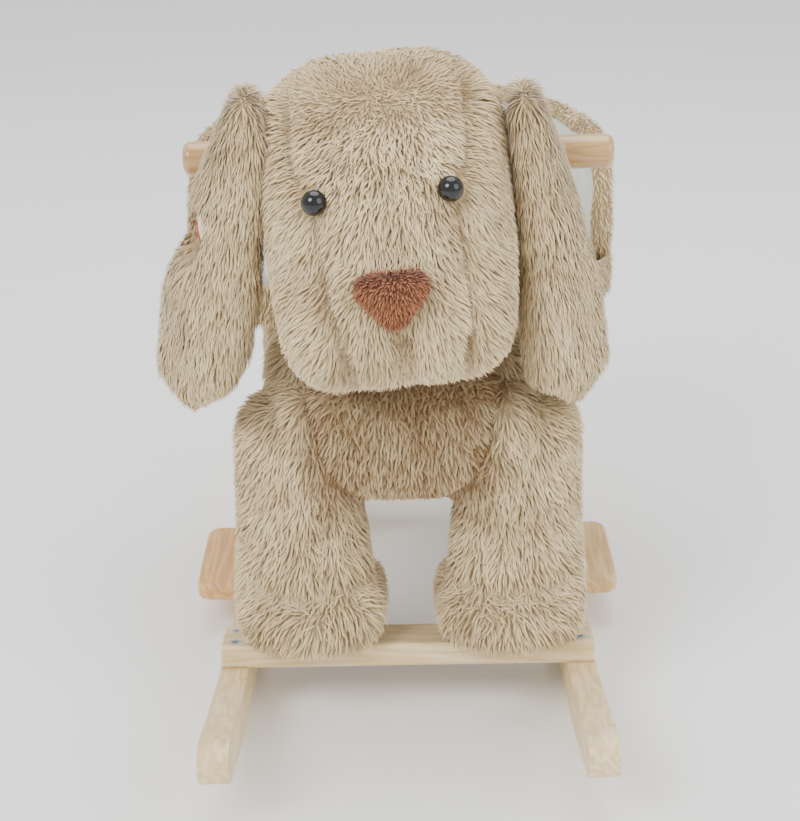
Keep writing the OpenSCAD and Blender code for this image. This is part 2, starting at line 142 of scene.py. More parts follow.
def points(obj):
    co = np.empty(len(obj.data.vertices) * 3, np.float32)
    obj.data.vertices.foreach_get("co", co)
    return co.reshape(-1, 3).astype(float)


def setPoints(obj, co):
    obj.data.vertices.foreach_set("co", co.astype(np.float32).ravel())
    obj.data.update()


def normals(obj):
    out = np.empty(len(obj.data.vertices) * 3, np.float32)
    obj.data.vertices.foreach_get("normal", out)
    return out.reshape(-1, 3).astype(float)


def storeField(obj, name, values):
    kind = "FLOAT_VECTOR" if values.ndim == 2 else "FLOAT"
    attribute = obj.data.attributes.new(name, kind, "POINT")
    attribute.data.foreach_set("vector" if values.ndim == 2 else "value", values.astype(np.float32).ravel())


def easeStep(value, low, high):
    t = np.clip((value - low) / (high - low), 0, 1)
    return t * t * (3 - 2 * t)


# node trees

# inputs are (label, kind) or (label, kind, value)
def newTree(name, sort, inputs, outputs):
    tree = bpy.data.node_groups.new(name, sort)
    for label, kind in outputs:
        tree.interface.new_socket(label, in_out="OUTPUT", socket_type=kind)
    for label, kind, *value in inputs:
        socket = tree.interface.new_socket(label, in_out="INPUT", socket_type=kind)
        if value:
            socket.default_value = value[0]
    return tree, tree.nodes.new("NodeGroupInput"), tree.nodes.new("NodeGroupOutput")


def node(tree, kind, settings=(), **inputs):
    made = tree.nodes.new(kind)
    for key, value in dict(settings).items():
        setattr(made, key, value)
    for key, value in inputs.items():
        socket = made.inputs[int(key[2:])] if key.startswith("in") and key[2:].isdigit() else made.inputs[key]
        if isinstance(value, bpy.types.NodeSocket):
            tree.links.new(value, socket)
        else:
            socket.default_value = value
    return made


def mathNode(tree, operation, a, b=0.5):
    return node(tree, "ShaderNodeMath", {"operation": operation}, in0=a, in1=b).outputs[0]


def vectorNode(tree, operation, a, b=(0, 0, 0)):
    made = node(tree, "ShaderNodeVectorMath", {"operation": operation}, in0=a, in1=b)
    return made.outputs["Value" if operation in ("DOT_PRODUCT", "LENGTH") else "Vector"]


def scaledNode(tree, vector, factor):
    return node(tree, "ShaderNodeVectorMath", {"operation": "SCALE"}, in0=vector, Scale=factor).outputs[0]


def mixColour(tree, factor, a, b, blend="MIX"):
    made = node(tree, "ShaderNodeMix", {"data_type": "RGBA", "blend_type": blend}, in0=factor, in6=a, in7=b)
    return made.outputs[2]


def rangeNode(tree, value, low, high, newLow=0.0, newHigh=1.0):
    return node(tree, "ShaderNodeMapRange", {"clamp": True}, Value=value, **{
        "From Min": low, "From Max": high, "To Min": newLow, "To Max": newHigh}).outputs[0]


def woodGrainGroup():
    tree, given, out = newTree("woodGrain", "ShaderNodeTree", [
        ("Vector", "NodeSocketVector", (0, 0, 0)),
        ("Light", "NodeSocketColor", (0.8, 0.7, 0.5, 1)),
        ("Dark", "NodeSocketColor", (0.6, 0.45, 0.25, 1)),
        ("Fineness", "NodeSocketFloat", 1.0),
    ], [("Colour", "NodeSocketColor"), ("Height", "NodeSocketFloat"), ("Roughness", "NodeSocketFloat")])
    # the vector's x runs along the grain
    wide = node(tree, "ShaderNodeMapping", {}, Vector=given.outputs["Vector"], Scale=(3.0, 26.0, 26.0))
    warp = node(tree, "ShaderNodeTexNoise", {}, Vector=wide.outputs[0], Scale=1.0, Detail=3.0, Roughness=0.5)
    bands = mathNode(tree, "MULTIPLY", warp.outputs[0], 26.0)
    rings = mathNode(tree, "PINGPONG", bands, 1.0)
    soft = rangeNode(tree, rings, 0.15, 0.95)
    fine = node(tree, "ShaderNodeMapping", {}, Vector=given.outputs["Vector"], Scale=(14.0, 700.0, 700.0))
    fibre = node(tree, "ShaderNodeTexNoise", {}, Vector=fine.outputs[0], Scale=given.outputs["Fineness"],
                 Detail=4.0, Roughness=0.6)
    broad = node(tree, "ShaderNodeTexNoise", {}, Vector=given.outputs["Vector"], Scale=9.0, Detail=2.0)
    shade = mathNode(tree, "MULTIPLY", soft, 0.52)
    shade = mathNode(tree, "ADD", shade, rangeNode(tree, fibre.outputs[0], 0.35, 0.7, 0.0, 0.32))
    shade = mathNode(tree, "ADD", shade, rangeNode(tree, broad.outputs[0], 0.35, 0.7, -0.1, 0.25))
    colour = mixColour(tree, shade, given.outputs["Light"], given.outputs["Dark"])
    tree.links.new(colour, out.inputs["Colour"])
    tree.links.new(fibre.outputs[0], out.inputs["Height"])
    tree.links.new(rangeNode(tree, fibre.outputs[0], 0.3, 0.7, 0.34, 0.52), out.inputs["Roughness"])
    return tree


woodGrain = woodGrainGroup()


def material(name):
    made = bpy.data.materials.new(name)
    made.use_nodes = True
    made.node_tree.nodes.clear()
    tree = made.node_tree
    shader = tree.nodes.new("ShaderNodeBsdfPrincipled")
    out = tree.nodes.new("ShaderNodeOutputMaterial")
    tree.links.new(shader.outputs[0], out.inputs[0])
    return made, tree, shader


def bump(tree, shader, height, strength, distance):
    made = node(tree, "ShaderNodeBump", {}, Height=height, Strength=strength, Distance=distance)
    tree.links.new(made.outputs[0], shader.inputs["Normal"])


def woodMaterial(name, light, dark, along, roughness=None, coat=0.0, fineness=1.0, shift=(0, 0, 0)):
    made, tree, shader = material(name)
    place = node(tree, "ShaderNodeTexCoord")
    turns = {"x": (0, 0, 0), "y": (0, 0, math.radians(-90)), "z": (0, math.radians(90), 0)}
    lined = node(tree, "ShaderNodeMapping", {}, Vector=place.outputs["Object"], Rotation=turns[along],
                 Location=shift)
    grain = tree.nodes.new("ShaderNodeGroup")
    grain.node_tree = woodGrain
    tree.links.new(lined.outputs[0], grain.inputs["Vector"])
    grain.inputs["Light"].default_value = (*light, 1)
    grain.inputs["Dark"].default_value = (*dark, 1)
    grain.inputs["Fineness"].default_value = fineness
    tree.links.new(grain.outputs["Colour"], shader.inputs["Base Color"])
    if roughness is None:
        tree.links.new(grain.outputs["Roughness"], shader.inputs["Roughness"])
    else:
        shader.inputs["Roughness"].default_value = roughness
    shader.inputs["Coat Weight"].default_value = coat
    shader.inputs["Coat Roughness"].default_value = 0.12
    bump(tree, shader, grain.outputs["Height"], 0.25, 0.0004)
    return made


def setMaterial(obj, *made):
    obj.data.materials.clear()
    for one in made:
        obj.data.materials.append(one)


# wood

woods = {
    "pineLight": (0.86, 0.70, 0.42),
    "pineDark": (0.62, 0.43, 0.19),
    "orangeLight": (0.82, 0.50, 0.21),
    "orangeDark": (0.52, 0.24, 0.08),
    "paleRestLight": (0.82, 0.60, 0.31),
    "paleRestDark": (0.58, 0.34, 0.13),
    "dowelLight": (0.60, 0.37, 0.14),
    "dowelDark": (0.42, 0.22, 0.07),
    "plyLight": (0.62, 0.50, 0.32),
    "plyDark": (0.42, 0.30, 0.17),
}
pineY = woodMaterial("pineRocker", woods["pineLight"], woods["pineDark"], "y", shift=(0.3, 0.1, 0))
pineX = woodMaterial("pineRail", woods["pineLight"], woods["pineDark"], "x", shift=(0.1, 0.4, 0.2))
pineZ = woodMaterial("pinePost", woods["pineLight"], woods["pineDark"], "z")
restLeft = woodMaterial("footrestPale", woods["paleRestLight"], woods["paleRestDark"], "y", shift=(0, 0.7, 0))
restRight = woodMaterial("footrestOrange", woods["orangeLight"], woods["orangeDark"], "y", shift=(0, 0.2, 0))
dowelWood = woodMaterial("varnishedDowel", woods["dowelLight"], woods["dowelDark"], "x", 0.28, 0.8)
plyWood = woodMaterial("plywoodFace", woods["plyLight"], woods["plyDark"], "y", 0.7)


# the middle of each separate screw in a CAD node, seen from above
def screwMiddles(group):
    mesh = bmesh.new()
    mesh.from_mesh(frame["nodes"][group].data)
    bmesh.ops.remove_doubles(mesh, verts=mesh.verts, dist=1e-6)
    left, found = set(mesh.verts), []
    while left:
        stack, island = [left.pop()], []
        while stack:
            vert = stack.pop()
            island.append(vert.co.copy())
            for edge in vert.link_edges:
                other = edge.other_vert(vert)
                if other in left:
                    left.discard(other)
                    stack.append(other)
        found.append(island)
    mesh.free()
    return [sum(island, Vector()) / len(island) for island in found]


easedWood = {
    "radius": 2.0 * mm, "footrestRadius": 3.2 * mm, "steps": 3, "sharpAngle": 30,
    "screwRoom": 8 * mm, "screwEdge": 30 * mm,  # shorter edges this near a screw stay sharp
}


# a copy of a CAD board with its long edges rounded over
def easedBoard(name, source, radius, screws, made):
    mesh = bmesh.new()
    mesh.from_mesh(frame["nodes"][source].data)
    bmesh.ops.remove_doubles(mesh, verts=mesh.verts, dist=1e-6)
    bmesh.ops.dissolve_limit(mesh, angle_limit=math.radians(0.5), verts=mesh.verts, edges=mesh.edges)
    heads = [m for group in screws for m in screwMiddles(group)]
    sharp = []
    for edge in mesh.edges:
        middle = (edge.verts[0].co + edge.verts[1].co) / 2
        near = any((Vector((middle.x - h.x, middle.y - h.y))).length < easedWood["screwRoom"] for h in heads)
        short = edge.calc_length() < easedWood["screwEdge"]
        if len(edge.link_faces) == 2 and not (near and short):
            if edge.calc_face_angle() > math.radians(easedWood["sharpAngle"]):
                sharp.append(edge)
    bmesh.ops.bevel(mesh, geom=sharp, offset=radius, segments=easedWood["steps"], profile=0.5,
                    affect="EDGES", clamp_overlap=True)
    bmesh.ops.triangulate(mesh, faces=[f for f in mesh.faces if len(f.verts) > 4])
    obj = fromMesh(name, mesh)
    setMaterial(obj, made)
    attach(obj, "root")
    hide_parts(source)
    return obj


for side in ("left", "right"):
    easedBoard(side + "Rocker", "rocker_" + side, easedWood["radius"],
               ["front_rail_screws", "rear_rail_screws", "footrest_screws"], pineY)
    easedBoard(side + "Footrest", "footrest_" + side, easedWood["footrestRadius"], ["footrest_screws"],
               restLeft if side == "left" else restRight)
easedBoard("frontRail", "front_rail", easedWood["radius"], ["front_rail_screws", "leg_bolts"], pineX)
easedBoard("rearRail", "rear_rail", easedWood["radius"], ["rear_rail_screws", "leg_bolts"], pineX)
print("boards eased")


# metal and plastic

metalSpots = {"scale": 900.0, "detail": 3.0, "spots": (0.35, 0.65), "darker": 0.7, "uneven": 0.2}
plasticSpots = {"scale": 400.0, "detail": 4.0, "spots": (0.3, 0.7), "darker": 0.88, "uneven": 0.06}


# one colour, broken up by fine spots in its tint and its roughness
def spottedMaterial(name, colour, roughness, spec):
    made, tree, shader = material(name)
    place = node(tree, "ShaderNodeTexCoord")
    spots = node(tree, "ShaderNodeTexNoise", {}, Vector=place.outputs["Object"], Scale=spec["scale"],
                 Detail=spec["detail"])
    darker = [part * spec["darker"] for part in colour]
    tint = mixColour(tree, rangeNode(tree, spots.outputs[0], *spec["spots"]), (*colour, 1), (*darker, 1))
    tree.links.new(tint, shader.inputs["Base Color"])
    uneven = rangeNode(tree, spots.outputs[0], 0.3, 0.7, roughness, roughness + spec["uneven"])
    tree.links.new(uneven, shader.inputs["Roughness"])
    return made, shader


def metalMaterial(name, colour, roughness):
    made, shader = spottedMaterial(name, colour, roughness, metalSpots)
    shader.inputs["Metallic"].default_value = 1.0
    return made


def plasticMaterial(name, colour, roughness, coat=0.0):
    made, shader = spottedMaterial(name, colour, roughness, plasticSpots)
    shader.inputs["Coat Weight"].default_value = coat
    shader.inputs["Coat Roughness"].default_value = 0.03
    return made


steel = metalMaterial("zincSteel", (0.62, 0.62, 0.64), 0.3)
whitePlastic = plasticMaterial("whitePlastic", (0.82, 0.82, 0.80), 0.4)
redPlastic = plasticMaterial("redPlastic", (0.72, 0.04, 0.03), 0.35)
eyeBlack = plasticMaterial("eyeBlack", (0.003, 0.003, 0.0035), 0.03, 0.15)
darkPlastic = plasticMaterial("speakerDark", (0.03, 0.03, 0.03), 0.6)
boardGreen = plasticMaterial("circuitGreen", (0.02, 0.16, 0.06), 0.4)

finishes = {
    "screw_steel": steel, "white_plastic": whitePlastic, "red_plastic": redPlastic, "eye_black": eyeBlack,
    "speaker_black": darkPlastic, "circuit_green": boardGreen, "varnished_dowel": dowelWood,
    "plywood": plyWood, "pine": pineZ, "warm_pine": restLeft,
}
slotOf = {row["node"]: row["material_slot"] for row in frame["record"]["subparts"]}
for name, obj in frame["nodes"].items():
    if slotOf[name] in finishes:
        setMaterial(obj, finishes[slotOf[name]])
setMaterial(frame["nodes"]["seat_battens"], pineX)


# a white disc with a red rim and a small generic ring mark
def labelMaterial(middle, facing):
    made, tree, shader = material("pressLabel")
    place = node(tree, "ShaderNodeTexCoord")
    away = vectorNode(tree, "SUBTRACT", place.outputs["Object"], middle)
    lifted = scaledNode(tree, facing, vectorNode(tree, "DOT_PRODUCT", away, facing))
    radius = vectorNode(tree, "LENGTH", vectorNode(tree, "SUBTRACT", away, lifted))
    rim = rangeNode(tree, radius, 0.0108, 0.0112)
    ringIn = rangeNode(tree, radius, 0.0046, 0.0049)
    ringOut = rangeNode(tree, radius, 0.0058, 0.0061, 1.0, 0.0)
    mark = mathNode(tree, "MULTIPLY", mathNode(tree, "MULTIPLY", ringIn, ringOut), 0.55)
    face = mixColour(tree, mark, (0.86, 0.85, 0.84, 1), (0.80, 0.10, 0.08, 1))
    colour = mixColour(tree, rim, face, (0.78, 0.03, 0.02, 1))
    tree.links.new(colour, shader.inputs["Base Color"])
    shader.inputs["Roughness"].default_value = 0.38
    return made


labelLow, labelHigh = lowHigh("press_label")
labelMiddle = (labelLow + labelHigh) / 2
buttonJoint = [j for j in frame["joints"] if j["name"] == "button_press"][0]
labelFacing = -np.array(buttonJoint["axis"], float)
setMaterial(frame["nodes"]["press_label"], labelMaterial(tuple(labelMiddle), tuple(labelFacing)))
print("metal and plastic done")


# soft shapes

lean = math.radians(5)
headPivot = np.array((0, -104, 300.0))


# a point of the upright head, in mm, where the leaning head has it
def leaned(place):
    x, y, z = np.array(place, float) - headPivot
    turned = (x * math.cos(lean) - z * math.sin(lean), y, x * math.sin(lean) + z * math.cos(lean))
    return np.array(turned) + headPivot


# points in metres, moved back to the upright head, in mm
def unleaned(co):
    away = co / mm - headPivot
    x = away[:, 0] * math.cos(lean) + away[:, 2] * math.sin(lean)
    z = -away[:, 0] * math.sin(lean) + away[:, 2] * math.cos(lean)
    return np.stack((x, away[:, 1], z), 1) + headPivot


# the convex hull of balls given in mm as (x, y, z, radius)
def hullOf(balls, shrink, move=None):
    mesh = bmesh.new()
    for x, y, z, radius in balls:
        place = Vector(move((x, y, z)) if move else (x, y, z)) * mm
        bmesh.ops.create_icosphere(mesh, subdivisions=3, radius=(radius - shrink) * mm,
                                   matrix=Matrix.Translation(place))
    done = bmesh.ops.convex_hull(mesh, input=mesh.verts)
    spare = [v for v in done["geom_interior"] if isinstance(v, bmesh.types.BMVert)]
    bmesh.ops.delete(mesh, geom=list(set(spare)), context="VERTS")
    loose = [v for v in mesh.verts if not v.link_faces]
    bmesh.ops.delete(mesh, geom=loose, context="VERTS")
    bmesh.ops.recalc_face_normals(mesh, faces=mesh.faces)
    return mesh


# several blobs grown together into one soft closed shape
def skin(name, blobs, shrink, voxel, smoothing, move=None):
    joined = bmesh.new()
    for balls in blobs:
        part = hullOf(balls, shrink, move)
        data = bpy.data.meshes.new("part")
        part.to_mesh(data)
        part.free()
        joined.from_mesh(data)
        bpy.data.meshes.remove(data)
    return evened(fromMesh(name, joined), voxel, smoothing)


# fills the shape as stuffing does: cloth under pressure, with no point moving further than cap
def puff(obj, pressure, cap, frames=16):
    start = points(obj)
    scene = bpy.context.scene
    cloth = obj.modifiers.new("filled", "CLOTH")
    cloth.settings.use_pressure = True
    cloth.settings.uniform_pressure_force = pressure
    cloth.settings.effector_weights.gravity = 0
    cloth.settings.quality = 5
    cloth.point_cache.frame_end = frames
    for step in range(1, frames + 1):
        scene.frame_set(step)
    graph = bpy.context.evaluated_depsgraph_get()
    shape = obj.evaluated_get(graph).to_mesh()
    end = np.array([v.co for v in shape.vertices], float)
    obj.evaluated_get(graph).to_mesh_clear()
    obj.modifiers.clear()
    scene.frame_set(1)
    moved = end - start
    far = np.maximum(np.linalg.norm(moved, axis=1, keepdims=True), 1e-9)
    moved *= np.minimum(1, cap * mm / far)
    setPoints(obj, start + moved)


# how far each point is from a line of points, all in metres
def pathDistance(co, path):
    best = np.full(len(co), 1e9)
    for a, b in zip(path[:-1], path[1:]):
        ab = b - a
        t = np.clip(((co - a) @ ab) / max(ab @ ab, 1e-12), 0, 1)
        best = np.minimum(best, np.linalg.norm(co - (a + t[:, None] * ab), axis=1))
    return best


# sews lines into a soft shape: points near a line sink, most at the line itself
def pinch(obj, paths, depth, width):
    co = points(obj)
    inward = normals(obj)
    near = np.full(len(co), 1e9)
    for path in paths:
        near = np.minimum(near, pathDistance(co, np.array(path)))
    sink = depth * mm * np.exp(-(near / (width * mm)) ** 2)
    setPoints(obj, co - inward * sink[:, None])
    return near


# a line of places drawn on the shape by looking along direction; places are (x, y, z) in mm
def castLine(obj, places, direction, steps=6):
    found = []
    aim = Vector(direction)
    bpy.context.view_layer.update()
    for a, b in zip(places[:-1], places[1:]):
        for k in range(steps):
            place = Vector(np.array(a) + (np.array(b) - np.array(a)) * k / steps) * mm
            hit, where, _, _ = obj.ray_cast(place - aim * 0.6, aim)
            if hit:
                found.append(np.array(where))
    return found


# puts a shape on each point, makes the copies real and gives them their material
def placeShapes(tree, given, shape, out, **places):
    info = node(tree, "GeometryNodeObjectInfo", {}, Object=shape)
    placed = node(tree, "GeometryNodeInstanceOnPoints", {}, Instance=info.outputs["Geometry"], **places)
    real = node(tree, "GeometryNodeRealizeInstances", {}, in0=placed.outputs[0])
    finish = node(tree, "GeometryNodeSetMaterial", {}, Geometry=real.outputs[0], Material=given["Material"])
    tree.links.new(finish.outputs[0], out.inputs[0])


def socketNames(tree):
    return {s.name: s.identifier for s in tree.interface.items_tree if s.in_out == "INPUT"}


# fur

# one tuft: a bent strip that narrows to a point, 1 long along its own Z and facing its own +Y
def bladeMesh():
    places = [(-0.5, 0, 0), (0.5, 0, 0), (-0.42, 0.10, 0.55), (0.42, 0.10, 0.55), (0, 0.02, 1)]
    along = [0.0, 0.0, 0.55, 0.55, 1.0]
    faces = [(0, 1, 3, 2), (2, 3, 4)]
    data = bpy.data.meshes.new("tuft")
    data.from_pydata(places, [], [f[::-1] for f in faces])
    attribute = data.attributes.new("along", "FLOAT", "POINT")
    attribute.data.foreach_set("value", along)
    smoothShade(data)
    return data


tuft = addObject("tuft", bladeMesh())
tuftSides = np.array((-1, 1, -1, 1, 0), float)


def furNodes():
    sizes = [("Spacing", 0.0022), ("Length", 0.012), ("Width", 0.0028), ("Lift", 0.45), ("Wander", 0.5),
             ("Clump Scale", 55.0), ("Unevenness", 0.3), ("Patch Contrast", 0.5)]
    tree, given, out = newTree("furCoat", "GeometryNodeTree", [
        ("Geometry", "NodeSocketGeometry"),
        *((label, "NodeSocketFloat", value) for label, value in sizes),
        ("Seed", "NodeSocketInt", 1), ("Tuft", "NodeSocketObject"), ("Material", "NodeSocketMaterial"),
    ], [("Geometry", "NodeSocketGeometry")])
    given = given.outputs

    def named(name, kind="FLOAT"):
        return node(tree, "GeometryNodeInputNamedAttribute", {"data_type": kind}, Name=name).outputs[0]

    square = mathNode(tree, "MULTIPLY", given["Spacing"], given["Spacing"])
    most = mathNode(tree, "DIVIDE", 1.6, square)
    spread = tree.nodes.new("GeometryNodeDistributePointsOnFaces")
    spread.distribute_method = "POISSON"
    tree.links.new(given["Geometry"], spread.inputs["Mesh"])
    tree.links.new(given["Spacing"], spread.inputs["Distance Min"])
    tree.links.new(most, spread.inputs["Density Max"])
    tree.links.new(named("cover"), spread.inputs["Density Factor"])
    tree.links.new(given["Seed"], spread.inputs["Seed"])
    outward = spread.outputs["Normal"]
    place = tree.nodes.new("GeometryNodeInputPosition").outputs[0]

    # tufts lean with the nap, wander in clumps and stand off the skin by the lift
    clump = node(tree, "ShaderNodeTexNoise", {}, Vector=place, Scale=given["Clump Scale"], Detail=2.0)
    wander = scaledNode(tree, vectorNode(tree, "SUBTRACT", clump.outputs["Color"], (0.5, 0.5, 0.5)),
                        given["Wander"])
    jitter = node(tree, "FunctionNodeRandomValue", {"data_type": "FLOAT_VECTOR"}, Seed=given["Seed"])
    jitter.inputs[0].default_value = (-0.22, -0.22, -0.22)
    jitter.inputs[1].default_value = (0.22, 0.22, 0.22)
    lay = vectorNode(tree, "ADD", named("nap", "FLOAT_VECTOR"), wander)
    lay = vectorNode(tree, "ADD", lay, jitter.outputs[0])
    standing = scaledNode(tree, outward, vectorNode(tree, "DOT_PRODUCT", lay, outward))
    flat = vectorNode(tree, "NORMALIZE", vectorNode(tree, "SUBTRACT", lay, standing))
    aim = vectorNode(tree, "ADD", flat, scaledNode(tree, outward, given["Lift"]))
    turned = node(tree, "FunctionNodeAlignRotationToVector", {"axis": "Z"}, Vector=aim)
    rolled = node(tree, "FunctionNodeAlignRotationToVector", {"axis": "Y", "pivot_axis": "Z"},
                  Rotation=turned.outputs[0], Vector=outward)
    lengths = node(tree, "FunctionNodeRandomValue", {"data_type": "FLOAT"}, Seed=given["Seed"])
    lengths.inputs[2].default_value = 0.72
    lengths.inputs[3].default_value = 1.2
    long = mathNode(tree, "MULTIPLY", mathNode(tree, "MULTIPLY", given["Length"], lengths.outputs[1]),
                    named("furLength"))
    size = node(tree, "ShaderNodeCombineXYZ", {}, X=given["Width"], Y=long, Z=long)
    # each tuft keeps one tone: a patch value, a random step and the piece's own tone field, which carries painted
    # shade and painted light
    patch = node(tree, "ShaderNodeTexNoise", {}, Vector=place, Scale=38.0, Detail=3.0, Roughness=0.6)
    patchy = mathNode(tree, "MULTIPLY", mathNode(tree, "SUBTRACT", patch.outputs[0], 0.5),
                      given["Patch Contrast"])
    step = node(tree, "FunctionNodeRandomValue", {"data_type": "FLOAT"}, Seed=given["Seed"])
    step.inputs[2].default_value = -0.5
    step.inputs[3].default_value = 0.5
    uneven = mathNode(tree, "MULTIPLY", step.outputs[1], given["Unevenness"])
    tone = mathNode(tree, "ADD", mathNode(tree, "ADD", patchy, uneven), named("tone"))
    kept = tree.nodes.new("GeometryNodeStoreNamedAttribute")
    kept.data_type = "FLOAT"
    kept.domain = "POINT"
    kept.inputs["Name"].default_value = "tuftTone"
    tree.links.new(spread.outputs["Points"], kept.inputs["Geometry"])
    tree.links.new(node(tree, "ShaderNodeClamp", {}, Value=tone).outputs[0], kept.inputs["Value"])
    placeShapes(tree, given, given["Tuft"], out, Points=kept.outputs[0], Rotation=rolled.outputs[0],
                Scale=size.outputs[0])
    return tree


furCoat = furNodes()
furSockets = socketNames(furCoat)


def furMaterial(name, dark, light, rootShade, sheen=0.25):
    made, tree, shader = material(name)
    tone = node(tree, "ShaderNodeAttribute", {"attribute_name": "tuftTone"}).outputs["Fac"]
    along = node(tree, "ShaderNodeAttribute", {"attribute_name": "along"}).outputs["Fac"]
    tint = mixColour(tree, tone, (*dark, 1), (*light, 1))
    root = rangeNode(tree, along, 0.0, 0.75, rootShade, 1.0)
    grey = node(tree, "ShaderNodeCombineColor", {}, in0=root, in1=root, in2=root)
    tree.links.new(mixColour(tree, 1.0, tint, grey.outputs[0], "MULTIPLY"), shader.inputs["Base Color"])
    shader.inputs["Roughness"].default_value = 0.85
    shader.inputs["Sheen Weight"].default_value = sheen
    shader.inputs["Sheen Roughness"].default_value = 0.5
    shader.inputs["Specular IOR Level"].default_value = 0.2
    return made


# short pile or woven backing: a fine mottle and bump
def clothMaterial(name, dark, light, scale, height, roughness=0.9, sheen=0.3):
    made, tree, shader = material(name)
    place = node(tree, "ShaderNodeTexCoord")
    pile = node(tree, "ShaderNodeTexNoise", {}, Vector=place.outputs["Object"], Scale=scale, Detail=4.0,
                Roughness=0.7)
    broad = node(tree, "ShaderNodeTexNoise", {}, Vector=place.outputs["Object"], Scale=28.0, Detail=3.0)
    mixed = mathNode(tree, "ADD", mathNode(tree, "MULTIPLY", pile.outputs[0], 0.6),
                     mathNode(tree, "MULTIPLY", broad.outputs[0], 0.4))
    tint = mixColour(tree, rangeNode(tree, mixed, 0.36, 0.62), (*dark, 1), (*light, 1))
    tree.links.new(tint, shader.inputs["Base Color"])
    shader.inputs["Roughness"].default_value = roughness
    shader.inputs["Sheen Weight"].default_value = sheen
    shader.inputs["Specular IOR Level"].default_value = 0.2
    bump(tree, shader, pile.outputs[0], 0.6, height * mm)
    return made


furTints = {"dark": (0.27, 0.160, 0.070), "light": (0.90, 0.73, 0.43), "rootShade": 0.66}
tanFur = furMaterial("tanFur", furTints["dark"], furTints["light"], furTints["rootShade"])
noseFur = furMaterial("noseFur", (0.16, 0.052, 0.024), (0.48, 0.20, 0.10), 0.6, 0.1)
# the backing is painted darker than the fur: painted shade in the gaps between the tufts
shadedTanSkin = clothMaterial("shadedTanBacking", (0.36, 0.25, 0.12), (0.52, 0.38, 0.20), 700.0, 0.5)
liningCloth = clothMaterial("liningPile", (0.58, 0.60, 0.57), (0.74, 0.76, 0.73), 900.0, 0.5)
soleCloth = clothMaterial("soleCloth", (0.20, 0.13, 0.075), (0.34, 0.23, 0.14), 900.0, 0.4)
# the nose backing is painted darker than the nose fur: painted shade in the gaps between the tufts
shadedNoseCloth = clothMaterial("shadedNoseBacking", (0.07, 0.02, 0.01), (0.14, 0.05, 0.03), 900.0, 0.3)


# grows a fur coat on a skin. fields gives nap, furLength, cover and tone for each skin point.
def grow(name, base, coat, made, body, fields):
    copy = addObject(name, base.data.copy())
    for label, values in fields.items():
        storeField(copy, label, values)
    modifier = copy.modifiers.new("coat", "NODES")
    modifier.node_group = furCoat
    for label, value in coat.items():
        modifier[furSockets[label]] = value
    modifier[furSockets["Tuft"]] = tuft
    modifier[furSockets["Material"]] = made
    fur = baked(copy, name)
    count = len(fur.data.vertices)
    tone, along = np.empty(count, np.float32), np.empty(count, np.float32)
    fur.data.attributes["tuftTone"].data.foreach_get("value", tone)
    fur.data.attributes["along"].data.foreach_get("value", along)
    corner = np.empty(len(fur.data.loops), np.int32)
    fur.data.loops.foreach_get("vertex_index", corner)
    side = tuftSides[corner % len(tuftSides)]
    across = 0.02 + 0.96 * tone[corner] + side * 0.006
    up = 0.03 + 0.94 * along[corner]
    flatMap = fur.data.uv_layers.new(name="OFBake")
    flatMap.data.foreach_set("uv", np.stack((across, up), 1).astype(np.float32).ravel())
    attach(fur, body)
    print(name, count // len(tuftSides), "tufts")
    return fur


def soft(obj, body, slotName, nodes, fill, made):
    setMaterial(obj, made)
    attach(obj, body)
    if nodes:
        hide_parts(*nodes)


# head

headShape = {
    "blobs": [
        [(-27, -140, 432, 62), (27, -140, 432, 62), (-41, -138, 342, 46), (41, -138, 342, 46),
         (-38, -185, 400, 45), (38, -185, 400, 45), (-40, -214, 322, 40), (40, -214, 322, 40)],
        [(-22, -219, 345, 36), (22, -219, 345, 36), (0, -214, 320, 38)],
        # the nape, over the top of the neck
        [(-27, -138, 428, 60), (27, -138, 428, 60), (-26, -112, 372, 48), (26, -112, 372, 48),
         (-22, -116, 330, 44), (22, -116, 330, 44)],
    ],
    "shrink": 4.5, "voxel": 4.0, "smoothing": 14, "pressure": 3.0, "swell": 3.0,
    "eyes": [(-44, 417), (44, 417)], "eyeSocket": 15,
    "nose": (0, 356),
    "seams": [
        [(-60, -240, 468), (-56, -240, 440), (-48, -240, 417)],
        [(60, -240, 468), (56, -240, 440), (48, -240, 417)],
        [(-44, -260, 405), (-42, -260, 370), (-37, -260, 335), (-32, -260, 300)],
        [(46, -260, 405), (48, -260, 370), (49, -260, 335), (44, -260, 300)],
        [(0, -280, 342), (1, -280, 318), (0, -280, 290)],
    ],
    "folds": [
        [(-34, -280, 318), (-31, -280, 288)], [(6, -280, 326), (5, -280, 286)],
        [(46, -280, 320), (42, -280, 288)],
    ],
}
headCoat = {"Spacing": 0.00128, "Length": 0.0115, "Width": 0.0014, "Lift": 0.36, "Wander": 1.5,
            "Clump Scale": 95.0, "Unevenness": 0.34, "Patch Contrast": 1.0, "Seed": 3}


